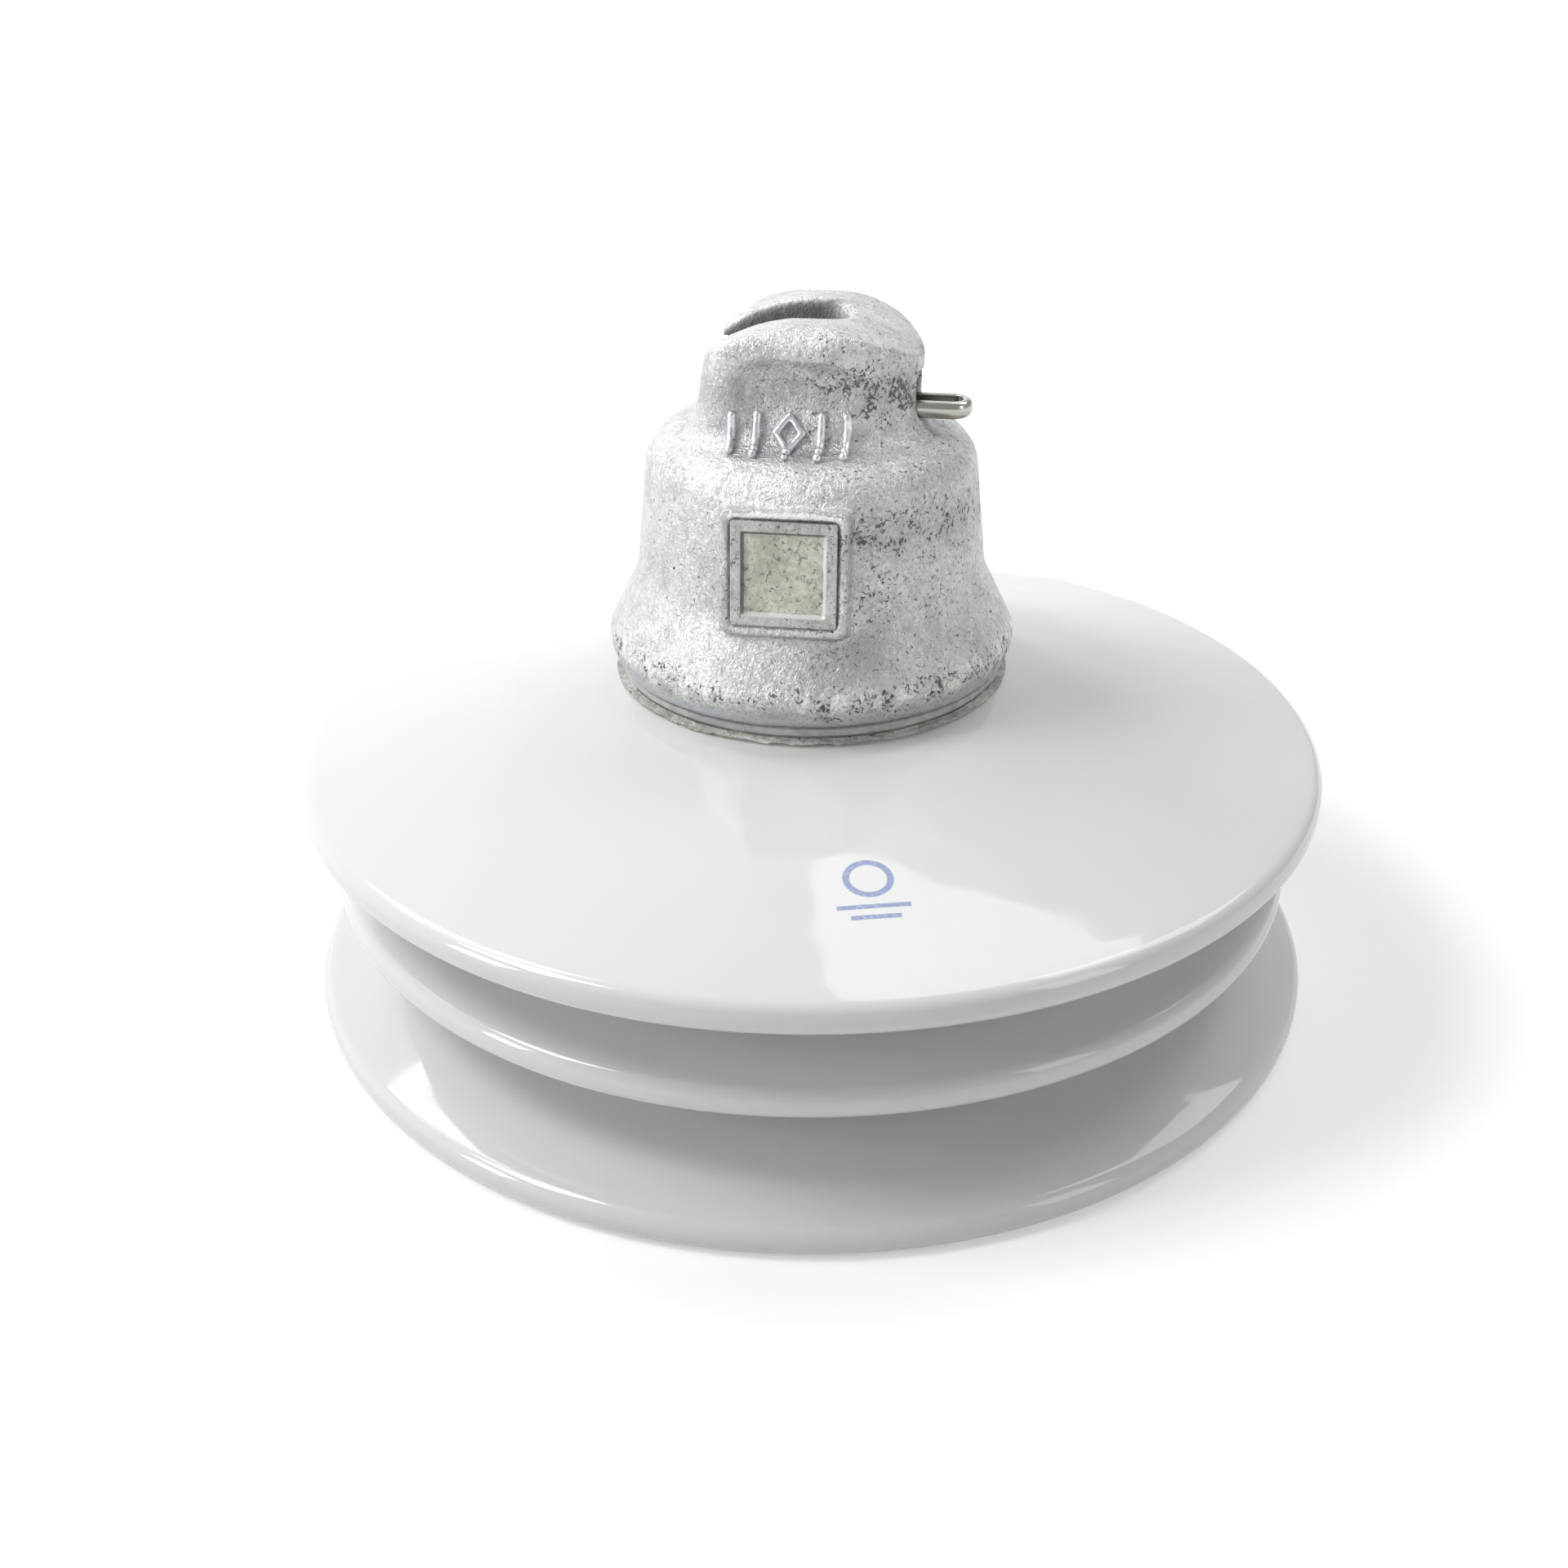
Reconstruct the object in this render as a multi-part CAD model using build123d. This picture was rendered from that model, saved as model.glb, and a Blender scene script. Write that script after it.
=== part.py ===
from build123d import *
import os

# Disc suspension insulator, cap-and-pin type, one unit, millimetres, +Z up.
# The unit stands on the rim of its lowest shed, and the origin is the centre of that rim's foot.
# The socket's entry window opens toward -X, the locking clip is pulled out toward +X,
# and the tag and the raised foundry marks are on the -Y side of the cap.

# ---- Coupling (16 mm ball and socket) ----
spacing = 155.0  # one unit's share of a string: ball shoulder to socket seat
pin_shank_r = 8.5
ball_r = 16.65
ball_height = 13.4
ball_land = 4.2  # band round the middle of the ball, with its rounded edges
ball_top_drop = 4.4  # height of the domed shoulder above the band
slot_width = 19.2
socket_r = 17.6
socket_height = 20.0
seat_depth = 2.5
seat_plate = 10.0  # metal above the seat

# ---- Overall height ----
cap_top_z = 202.0

# ---- Porcelain shell ----
top_shed_r = 150.0
middle_shed_r = 142.0
bottom_shed_r = 150.5
rim_edge_r = 5.0  # half the thickness of a shed at its rim
rim_edge_fillet = 4.4
foot_width = 3.0  # flat ring under the lowest rim
foot_fillet = 4.0
middle_rim_z = 40.7
top_rim_z = 70.9
top_shed_root_z = 96.5  # the top shed's upper face, where the cap's cement ends on it
trunk_r = 97.0
shed_fillet = 6.0
shed_rise = 0.30  # rise of the lower sheds' upper faces, per mm inward
underside_rise = 0.14
bell_mouth_r = 80.0
bell_wall_r = 74.0
bell_mouth_z = 9.5
bell_ceiling_z = 62.0
bell_fillet = 12.0
boss_r = 27.0  # ring of porcelain round the pin hole
boss_drop = 4.0  # how far the ceiling falls from the pin hole to the wall of the bell
boss_fillet = 3.0
pin_hole_r = 19.5
pin_hole_fillet = 6.0
pin_hole_edge = 2.0
head_r = 36.5
head_fillet = 10.0
head_wall = 15.5  # porcelain above the pin hole

# ---- Cap ----
cap_lip_height = 4.9  # from the shed up to the rim of the cap
cap_rim_r = 56.7
cap_wide_r = 58.9
cap_wide_height = 5.8  # of the widest band above the rim
cap_band = 2.6
cap_flare_top_r = 50.1
cap_flare_height = 29.1
cap_shoulder_r = 46.7
cap_shoulder_drop = 8.2  # from the flat of the shoulder down to its bend
cap_shoulder_bend = 10.0
cap_shoulder_fillet = 15.0
cap_shoulder_inset = 7.0
cap_flare_fillet = 18.0
cap_wide_fillet = 6.0
cap_deck_drop = 1.5  # from the socket's floor down to the flat of the shoulder
cap_bore_r = 42.5
cap_bore_top_r = 39.5
cap_bore_mouth_r = 50.5
cap_roof = 9.0  # metal between the socket floor and the bell of the cap
cap_bore_fillet = 12.0
cap_bore_bend = 15.0
cap_edge = 0.8

# ---- Head of the cap, over the socket ----
hood_half_width = 26.5
hood_back_x = 31.5
hood_window_x = -25.0  # window face at the top
hood_window_foot_x = -30.5  # window face at the shoulder
hood_corner_r = 9.0
hood_lip_fillet = 8.2
hood_slot_fillet = 3.0
hood_foot_fillet = 7.0
crown_x = 1.0  # highest point of the head
crown_r = 46.0  # radius of the low arch over the head, seen from the side
side_dish_r = 16.0  # radius of the shallow hollow under the lip on both long sides
side_dish_depth = 2.8
side_dish_start_x = -9.0
side_dish_end_x = 14.0
side_dish_below_top = 17.0

# ---- Locking clip ----
clip_leg_gap = 6.0  # between the two legs
clip_wire_width = 2.8
clip_wire_height = 5.0
clip_below_top = 26.5
clip_eye_x = 44.8
clip_leg_end_x = -6.0
clip_splay = 3.4
clip_splay_length = 4.0
clip_toe_bend = 4.0
clip_hole_width = 13.6
clip_hole_height = 13.4
clip_hole_fillet = 3.0
clip_floor_gap = 0.3  # under the clip, to the floor of its hole

# ---- Tag ----
tag_frame_size = 34.4
tag_frame_stand = 2.6  # how far the frame stands out of the cap's wall
tag_frame_root = 5.0  # how far its foot reaches into the wall
tag_frame_taper = 8.0  # degrees
tag_frame_height = 41.8  # of the tag's centre above the cap's rim
tag_frame_fillet = 2.5
tag_size = 28.6
tag_rim = 3.2
tag_corner = 0.8
tag_thickness = 1.8
tag_recess = 0.9
tag_gap = 0.3  # all round the plate
tag_seat_gap = 0.1  # behind the plate
tag_pocket_depth = 2.0

# ---- Cement, cushions, pin ----
cap_cement_lip_r = 55.6
cap_cement_edge = 1.2
roof_cement = 4.7  # between the head cushion and the roof of the cap
head_cushion = 2.5
pin_cushion = 3.0
pin_cushion_cement = 2.0  # above the pin cushion
pin_cement_recess = 1.0
pin_head_r = 13.5
pin_head_height = 12.0
pin_head_rim = 3.0  # straight side of the head
pin_neck_r = 9.5
pin_collar_r = 14.0
pin_collar_height = 6.0
pin_collar_depth = 8.0  # of the collar inside the mouth of the pin hole
ball_bevel = 5.0  # under the ball
shank_flare = 2.0  # where the shank meets the ball

# ---- Worked out from the sizes above ----
seat_z = cap_top_z - seat_plate
socket_floor_z = seat_z - socket_height
ball_shoulder_z = seat_z - spacing
ball_bottom_z = ball_shoulder_z - ball_height
clip_z = cap_top_z - clip_below_top
clip_hole_floor_z = clip_z - clip_wire_height / 2 - clip_floor_gap
cap_rim_z = top_shed_root_z + cap_lip_height
cap_wide_z = cap_rim_z + cap_wide_height
cap_flare_top_z = cap_rim_z + cap_flare_height
cap_deck_z = socket_floor_z - cap_deck_drop
cap_shoulder_z = cap_deck_z - cap_shoulder_drop
cap_roof_z = socket_floor_z - cap_roof
tag_frame_z = cap_rim_z + tag_frame_height
head_top_z = cap_roof_z - roof_cement - head_cushion
pin_hole_top_z = head_top_z - head_wall
pin_top_z = pin_hole_top_z - pin_cushion - pin_cushion_cement
bottom_rim_z = rim_edge_r
boss_z = bell_ceiling_z + boss_drop
top_shed_run = top_shed_r - rim_edge_r - cap_cement_lip_r
top_shed_rise = (top_shed_root_z - top_rim_z - rim_edge_r) / top_shed_run


def revolved(points, radii):
    """A solid of revolution from (radius, height) corners, each with its own fillet."""
    with BuildPart() as body:
        with BuildSketch(Plane.XZ):
            with BuildLine():
                FilletPolyline(points, radius=radii, close=True)
            make_face()
        revolve(axis=Axis.Z)
    return body.part


def shed_top(rim_r, rim_z, rise, at_r):
    """Height of a shed's upper face at a radius."""
    return rim_z + rim_edge_r + rise * (rim_r - rim_edge_r - at_r)


def shed_under(rim_r, rim_z, at_r):
    """Height of a shed's underside at a radius."""
    return rim_z - rim_edge_r + underside_rise * (rim_r - rim_edge_r - at_r)


def rim_corners(rim_r, rim_z, rise, inner_top, inner_under):
    """The outer edge of one shed: upper face in, round the edge, underside out."""
    corners = [
        (inner_top, shed_top(rim_r, rim_z, rise, inner_top)),
        (rim_r, shed_top(rim_r, rim_z, rise, rim_r)),
        (rim_r, shed_under(rim_r, rim_z, rim_r)),
        (inner_under, shed_under(rim_r, rim_z, inner_under)),
    ]
    return corners


def porcelain_shell():
    """Head, trunk, three sheds and the hollow bell under them, fired as one piece."""
    top = rim_corners(top_shed_r, top_rim_z, top_shed_rise, head_r, trunk_r)
    middle = rim_corners(middle_shed_r, middle_rim_z, shed_rise, trunk_r, trunk_r)
    bottom = rim_corners(bottom_shed_r, bottom_rim_z, shed_rise, trunk_r, trunk_r)
    foot_r = bottom_shed_r - rim_edge_r
    edge = rim_edge_fillet
    outline = [(0, head_top_z), (head_r, head_top_z)] + top + middle + bottom[:2]
    radii = [0, head_fillet, head_fillet, edge, edge, shed_fillet, shed_fillet, edge, edge]
    radii += [shed_fillet, shed_fillet, edge]
    outline += [(bottom_shed_r, 0), (foot_r - foot_width / 2, 0)]
    radii += [edge, foot_fillet]
    outline += [
        (bell_mouth_r, bell_mouth_z),
        (bell_wall_r, bell_ceiling_z),
        (boss_r, boss_z),
        (pin_hole_r, boss_z),
        (pin_hole_r, pin_hole_top_z),
        (0, pin_hole_top_z),
    ]
    radii += [shed_fillet, bell_fillet, boss_fillet, pin_hole_edge, pin_hole_fillet, 0]
    return revolved(outline, radii)


def bore_corners():
    """Inside of the cap's bell, from the axis under the roof to the mouth."""
    corners = [
        (0, cap_roof_z),
        (cap_bore_top_r, cap_roof_z),
        (cap_bore_r, cap_flare_top_z),
        (cap_bore_mouth_r, cap_rim_z),
    ]
    return corners


def cap_body():
    """The bell of the cap: rim, flare, wall and shoulder, before the head is added."""
    outer = [
        (cap_rim_r, cap_rim_z),
        (cap_wide_r, cap_wide_z),
        (cap_wide_r, cap_wide_z + cap_band),
        (cap_flare_top_r, cap_flare_top_z - cap_band),
        (cap_shoulder_r, cap_shoulder_z),
        (cap_shoulder_r - cap_shoulder_inset, cap_deck_z),
        (0, cap_deck_z),
    ]
    outer_radii = [cap_edge, cap_wide_fillet, cap_wide_fillet, cap_flare_fillet]
    outer_radii += [cap_shoulder_bend, cap_shoulder_fillet, 0]
    inner_radii = [0, cap_bore_fillet, cap_bore_bend, cap_edge]
    return revolved(outer + bore_corners(), outer_radii + inner_radii)


def hood_plan(window_x):
    """Plan of the head: straight sides, round over the clip."""
    round_x = hood_back_x - hood_half_width
    run = round_x - window_x
    sides = Pos(window_x + run / 2, 0) * Rectangle(run, 2 * hood_half_width)
    return Pos(round_x, 0) * Circle(hood_half_width) + sides


def window_face_cutter():
    """Everything in front of the leaning window face."""
    rise = cap_top_z - cap_deck_z
    run = hood_window_x - hood_window_foot_x
    far_x = hood_window_foot_x * 2
    points = [
        (far_x, cap_roof_z),
        (hood_window_foot_x - run * (cap_deck_z - cap_roof_z) / rise, cap_roof_z),
        (hood_window_x + run, cap_top_z + rise),
        (far_x, cap_top_z + rise),
    ]
    side = make_face(Plane.XZ * Polyline(points, close=True))
    return extrude(side, 2 * hood_half_width, both=True)


def side_dish(side):
    """The shallow hollow under the lip on one long side of the head."""
    dish_y = side * (hood_half_width - side_dish_depth + side_dish_r)
    dish_z = cap_top_z - side_dish_below_top
    run = side_dish_end_x - side_dish_start_x
    start = Pos(side_dish_start_x, dish_y, dish_z) * Sphere(side_dish_r)
    end = Pos(side_dish_end_x, dish_y, dish_z) * Sphere(side_dish_r)
    middle = Pos(side_dish_start_x + run / 2, dish_y, dish_z) * Rot(0, 90, 0)
    return start + end + middle * Cylinder(side_dish_r, run)


def leaning_edge(edge):
    """True for the two upright edges of the window face."""
    box = edge.bounding_box()
    return box.size.Z > hood_lip_fillet and box.max.X < 0 and box.size.X > 0.5


def hood():
    """The solid head of the cap: thick rounded lip, low crown, dished long sides."""
    foot_z = cap_roof_z + 1.0
    plan = Pos(0, 0, foot_z) * hood_plan(hood_window_foot_x - hood_corner_r)
    head = extrude(plan, cap_top_z - foot_z) - window_face_cutter()
    head = fillet(head.edges().filter_by(leaning_edge), hood_corner_r)
    head = fillet(head.faces().sort_by(Axis.Z)[-1].edges(), hood_lip_fillet)
    crown = Pos(crown_x, 0, cap_top_z - crown_r) * Rot(90, 0, 0)
    head = head & (crown * Cylinder(crown_r, 3 * hood_half_width))
    return head - side_dish(-1) - side_dish(1)


def socket_space():
    """What the mating ball and its shank need: chamber, seat, entry window and slot."""
    entry_x = hood_window_foot_x - 8.0
    entry_top_z = seat_z - seat_depth
    chamber = Pos(0, 0, socket_floor_z) * Cylinder(
        socket_r, socket_height, align=(Align.CENTER, Align.CENTER, Align.MIN)
    )
    window = Pos(entry_x, 0, socket_floor_z) * Box(
        -entry_x, 2 * socket_r, entry_top_z - socket_floor_z,
        align=(Align.MIN, Align.CENTER, Align.MIN),
    )
    slot_end = Pos(0, 0, socket_floor_z) * Cylinder(
        slot_width / 2, cap_top_z, align=(Align.CENTER, Align.CENTER, Align.MIN)
    )
    slot = Pos(entry_x, 0, socket_floor_z) * Box(
        -entry_x, slot_width, cap_top_z, align=(Align.MIN, Align.CENTER, Align.MIN)
    )
    return chamber + window + slot_end + slot


def clip_hole():
    """The cored hole in the back wall that the clip's legs pass through."""
    with BuildPart() as hole:
        with BuildSketch(Plane.YZ.offset(slot_width / 2)):
            with Locations((0, clip_hole_floor_z + clip_hole_height / 2)):
                RectangleRounded(clip_hole_width, clip_hole_height, clip_hole_fillet)
        extrude(amount=hood_back_x)
    return hole.part


def tag_plane():
    """Face of the cap's wall behind the tag, leaning back with the wall."""
    lean = (cap_flare_top_r - cap_shoulder_r) / (cap_shoulder_z - cap_flare_top_z)
    wall_r = cap_flare_top_r - lean * (tag_frame_z - cap_flare_top_z)
    return Plane(origin=(0, -wall_r, tag_frame_z), x_dir=(1, 0, 0), z_dir=(0, -1, lean))


def tag_frame():
    """Square frame cast on the wall of the cap, round the tag's pocket."""
    with BuildPart() as frame:
        with BuildSketch(tag_plane().offset(tag_frame_stand)):
            RectangleRounded(tag_frame_size, tag_frame_size, tag_frame_fillet)
        extrude(amount=-(tag_frame_stand + tag_frame_root), taper=-tag_frame_taper)
    bore = Cylinder(cap_bore_r, cap_top_z, align=(Align.CENTER, Align.CENTER, Align.MIN))
    return frame.part - bore


def tag_pocket():
    """The pocket in the frame that the tag lies in."""
    size = tag_size + 2 * tag_gap
    with BuildPart() as pocket:
        with BuildSketch(tag_plane().offset(tag_frame_stand)):
            Rectangle(size, size)
        extrude(amount=-tag_pocket_depth)
    return pocket.part


def hood_seam(edge):
    """True for the edges where the head stands on the flat of the shoulder."""
    box = edge.bounding_box()
    level = abs(box.min.Z - cap_deck_z) < 0.01 and abs(box.max.Z - cap_deck_z) < 0.01
    across = max(abs(box.min.Y), abs(box.max.Y)) < hood_half_width + 0.1
    along = box.min.X > hood_window_foot_x - 1.0 and box.max.X < hood_back_x + 0.1
    return level and across and along


def slot_mouth(edge):
    """True for the edges where the shank slot opens through the crown."""
    box = edge.bounding_box()
    half = slot_width / 2
    on_side = abs(abs(box.center().Y) - half) < 0.1 and box.size.X > half and box.size.Y < 0.1
    round_end = box.min.X > -0.1 and box.max.X < half + 0.1 and box.size.Y > half
    return box.min.Z > seat_z and (on_side or round_end)


def cap():
    """The one-piece iron cap: bell, head, socket, clip hole and tag frame."""
    body = cap_body() + hood()
    body = fillet(body.edges().filter_by(hood_seam), hood_foot_fillet)
    body = body + tag_frame()
    body = body - socket_space()
    body = fillet(body.edges().filter_by(slot_mouth), hood_slot_fillet)
    return body - clip_hole() - tag_pocket()


def tag_plate():
    """Square identification plate with a raised rim, pressed into its pocket."""
    face = tag_plane().offset(tag_frame_stand - tag_pocket_depth + tag_seat_gap)
    with BuildPart() as plate:
        with BuildSketch(face):
            RectangleRounded(tag_size, tag_size, tag_corner)
        extrude(amount=tag_thickness)
        with BuildSketch(face.offset(tag_thickness)):
            inner = tag_size - 2 * tag_rim
            Rectangle(inner, inner)
        extrude(amount=-tag_recess, mode=Mode.SUBTRACT)
    return plate.part


def head_cushion_pad():
    """Soft pad between the top of the porcelain head and the roof of the cap."""
    base = Pos(0, 0, head_top_z) * Cylinder(
        head_r - head_fillet, head_cushion, align=(Align.CENTER, Align.CENTER, Align.MIN)
    )
    return base


def cap_cement_ring(shell, cushion):
    """Cement between the porcelain head and the bore of the cap, with its lip at the rim."""
    foot_z = shed_under(top_shed_r, top_rim_z, trunk_r)
    lip = [(cap_cement_lip_r, cap_rim_z), (cap_cement_lip_r, foot_z), (0, foot_z)]
    lip_radii = [cap_cement_edge, 0, 0]
    filled = revolved(bore_corners() + lip, [0, cap_bore_fillet, cap_bore_bend, 0] + lip_radii)
    core = Pos(0, 0, bell_ceiling_z) * Cylinder(
        pin_hole_r + head_wall / 4,
        pin_hole_top_z + head_wall / 4 - bell_ceiling_z,
        align=(Align.CENTER, Align.CENTER, Align.MIN),
    )
    return filled - shell - cushion - core


def ball_pin():
    """Forged pin: ball, shank, collar and the spread head that the cement grips."""
    band_top_z = ball_shoulder_z - ball_top_drop
    collar_z = boss_z + pin_collar_depth
    points = [
        (0, ball_bottom_z),
        (ball_r - ball_bevel, ball_bottom_z),
        (ball_r, band_top_z - ball_land),
        (ball_r, band_top_z),
        (pin_shank_r + shank_flare, ball_shoulder_z),
        (pin_shank_r, ball_shoulder_z + shank_flare),
        (pin_shank_r, collar_z),
        (pin_collar_r, collar_z),
        (pin_collar_r, collar_z + pin_collar_height),
        (pin_neck_r, collar_z + pin_collar_height),
        (pin_neck_r, pin_top_z - pin_head_height),
        (pin_head_r, pin_top_z - pin_head_rim),
        (pin_head_r, pin_top_z),
        (0, pin_top_z),
    ]
    radii = [0, 3.0, 2.5, 1.5, 1.2, 3.0, 1.5, 1.5, 1.5, 2.0, 6.0, 1.0, 1.0, 0]
    return revolved(points, radii)


def pin_cushion_disc():
    """Soft disc above the end of the pin."""
    return Pos(0, 0, pin_top_z) * Cylinder(
        pin_head_r - 1.0, pin_cushion, align=(Align.CENTER, Align.CENTER, Align.MIN)
    )


def pin_cement_plug(pin, cushion, shell):
    """Cement that fills the pin hole round the pin."""
    plug = Pos(0, 0, boss_z + pin_cement_recess) * Cylinder(
        pin_hole_r + pin_hole_edge,
        pin_hole_top_z - boss_z,
        align=(Align.CENTER, Align.CENTER, Align.MIN),
    )
    return plug - shell - pin - cushion


def locking_clip():
    """Half-round wire bent to an eye outside and two legs that end in splayed toes."""
    centre_y = (clip_leg_gap + clip_wire_width) / 2
    eye_x = clip_eye_x - clip_wire_width / 2
    bend_x = clip_leg_end_x + clip_splay_length
    toe_y = centre_y + clip_splay
    leg = [(clip_leg_end_x, -toe_y), (bend_x, -centre_y), (eye_x, -centre_y)]
    mirrored = [(x, -y) for x, y in reversed(leg)]
    eye_bend = centre_y - 0.05
    with BuildPart() as clip:
        with BuildLine(Plane.XY.offset(clip_z)) as path:
            FilletPolyline(leg + mirrored, radius=[clip_toe_bend, eye_bend, eye_bend, clip_toe_bend])
        wire = path.wires()[0]
        with BuildSketch(Plane(origin=wire @ 0, x_dir=(0, 0, 1), z_dir=wire % 0)):
            RectangleRounded(clip_wire_height, clip_wire_width, clip_wire_width / 2 - 0.1)
        sweep(path=wire)
    return clip.part


shell = porcelain_shell()
cushion = head_cushion_pad()
pin = ball_pin()
disc = pin_cushion_disc()

nodes = {
    "cap": cap(),
    "porcelain_shell": shell,
    "ball_pin": pin,
    "cap_cement": cap_cement_ring(shell, cushion),
    "head_cushion": cushion,
    "pin_cement": pin_cement_plug(pin, disc, shell),
    "pin_cushion": disc,
    "tag_plate": tag_plate(),
    "locking_clip": locking_clip(),
}

os.makedirs("parts", exist_ok=True)
for name, solid in nodes.items():
    export_step(solid, f"parts/{name}.step")
    print(name, len(solid.solids()), round(solid.volume / 1000, 2), "cm3")
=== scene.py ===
# %% [markdown]
# # A cap-and-pin disc insulator, dressed for its portrait
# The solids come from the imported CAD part, which is the fixed frame of this lesson. Everything
# here stands where that frame says, in metres, with +Z up and the foot of the lowest shed at 0.
# The pieces are a fired porcelain body, an iron cap dipped in zinc, a forged pin and a wire clip.

# %% Load the frame
import math

import bmesh
import bpy
from mathutils import Matrix, Vector
from mathutils.bvhtree import BVHTree


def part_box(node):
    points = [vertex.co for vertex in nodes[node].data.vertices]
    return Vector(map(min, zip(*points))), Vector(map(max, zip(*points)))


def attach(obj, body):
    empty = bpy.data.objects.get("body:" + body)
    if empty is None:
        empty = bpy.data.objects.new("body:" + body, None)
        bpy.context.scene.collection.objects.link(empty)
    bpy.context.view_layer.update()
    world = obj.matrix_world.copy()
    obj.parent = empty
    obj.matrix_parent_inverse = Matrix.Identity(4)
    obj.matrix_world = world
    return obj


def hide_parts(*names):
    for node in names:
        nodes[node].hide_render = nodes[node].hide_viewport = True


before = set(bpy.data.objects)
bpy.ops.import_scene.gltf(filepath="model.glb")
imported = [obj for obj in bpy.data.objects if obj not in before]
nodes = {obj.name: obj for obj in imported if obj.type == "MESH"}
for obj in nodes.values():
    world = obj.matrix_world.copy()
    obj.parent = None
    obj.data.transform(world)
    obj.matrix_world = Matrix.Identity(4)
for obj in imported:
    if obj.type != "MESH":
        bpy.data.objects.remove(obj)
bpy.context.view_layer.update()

MM = 0.001

# %% [markdown]
# ## Small helpers for node trees
# Geometry trees and shader trees are wired in the same way: make a node, set its own options,
# then give each input a value or the socket that feeds it. One function does that for both kinds.
# A few short ones do arithmetic and mixing, and the last makes a group with named sockets, so a
# tree can be read like a recipe.


# %% Node helpers
def put(tree, kind, options=None, inputs=None, out=0):
    """Adds a node and returns one of its outputs; inputs are values or sockets."""
    made = tree.nodes.new(kind)
    for name, value in (options or {}).items():
        setattr(made, name, value)
    for name, value in (inputs or {}).items():
        if isinstance(value, bpy.types.NodeSocket):
            tree.links.new(value, made.inputs[name])
        else:
            made.inputs[name].default_value = value
    return made.outputs[out]


def sum_of(tree, operation, first, second=0.0, third=0.0):
    """One step of arithmetic on numbers or sockets."""
    return put(tree, "ShaderNodeMath", {"operation": operation}, {0: first, 1: second, 2: third})


def product(tree, *parts):
    """All the parts multiplied."""
    result = parts[0]
    for part in parts[1:]:
        result = sum_of(tree, "MULTIPLY", result, part)
    return result


def total(tree, *parts):
    """All the parts added up."""
    result = parts[0]
    for part in parts[1:]:
        result = sum_of(tree, "ADD", result, part)
    return result


def ramp(tree, value, low, high, out_low=0.0, out_high=1.0):
    """A smooth step of value from low to high."""
    return put(tree, "ShaderNodeMapRange", {"interpolation_type": "SMOOTHSTEP"},
               {"Value": value, "From Min": low, "From Max": high,
                "To Min": out_low, "To Max": out_high})


def blend_colours(tree, amount, first, second, mode="MIX"):
    """Mixes two colours by amount."""
    return put(tree, "ShaderNodeMix", {"data_type": "RGBA", "blend_type": mode},
               {0: amount, 6: first, 7: second}, out=2)


def new_group(name, kind, takes, gives):
    """An empty group with its input and output nodes; sockets are (name, type, default)."""
    group = bpy.data.node_groups.new(name, kind)
    for direction, sockets in (("INPUT", takes), ("OUTPUT", gives)):
        for label, socket, *default in sockets:
            item = group.interface.new_socket(label, in_out=direction, socket_type=socket)
            if default:
                item.default_value = default[0]
    inside = group.nodes.new("NodeGroupInput").outputs
    return group, inside, group.nodes.new("NodeGroupOutput").inputs


FLOAT, COLOUR, VECTOR = "NodeSocketFloat", "NodeSocketColor", "NodeSocketVector"
GEOMETRY, MATERIAL, INTEGER = "NodeSocketGeometry", "NodeSocketMaterial", "NodeSocketInt"
print("helpers ready: put, sum_of, product, total, ramp, blend_colours, new_group")

# %% [markdown]
# ## Turning a plain mesh out of a Geometry Nodes tree
# A tree lives in a modifier. Its named inputs are set by their identifiers before Blender works
# the object out for the first time. The finished shape is then copied into an ordinary mesh and
# the modifier is dropped, because the library keeps plain meshes.


# %% Bake a tree into a mesh
def plain_mesh(piece):
    """Replaces the piece's mesh by what its modifiers make of it."""
    graph = bpy.context.evaluated_depsgraph_get()
    graph.update()
    finished = bpy.data.meshes.new_from_object(piece.evaluated_get(graph))
    piece.modifiers.clear()
    piece.data = finished
    return piece


def grow(name, mesh, tree, **sizes):
    """Runs a geometry tree on a mesh; sizes are its named inputs, with _ for a space."""
    piece = bpy.data.objects.new(name, mesh)
    bpy.context.scene.collection.objects.link(piece)
    modifier = piece.modifiers.new(tree.name, "NODES")
    modifier.node_group = tree
    for item in tree.interface.items_tree:
        label = item.name.replace(" ", "_")
        if item.in_out == "INPUT" and label in sizes:
            modifier[item.identifier] = sizes[label]
    return plain_mesh(piece)


def report(piece):
    """Prints what a piece has become."""
    low = [round(min(v.co[i] for v in piece.data.vertices) / MM, 1) for i in range(3)]
    high = [round(max(v.co[i] for v in piece.data.vertices) / MM, 1) for i in range(3)]
    print(piece.name, len(piece.data.polygons), "faces, from", low, "to", high, "mm")


print("helpers ready: plain_mesh, grow, report")

# %% [markdown]
# ## An outline with rounded corners
# Porcelain, cement and forged pins are all drawn as a half section: a few corners, each with its
# own radius. This function lays an arc into every corner and divides the straight runs, so that
# a smooth-shaded face never has to bend its light over a long distance.


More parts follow.
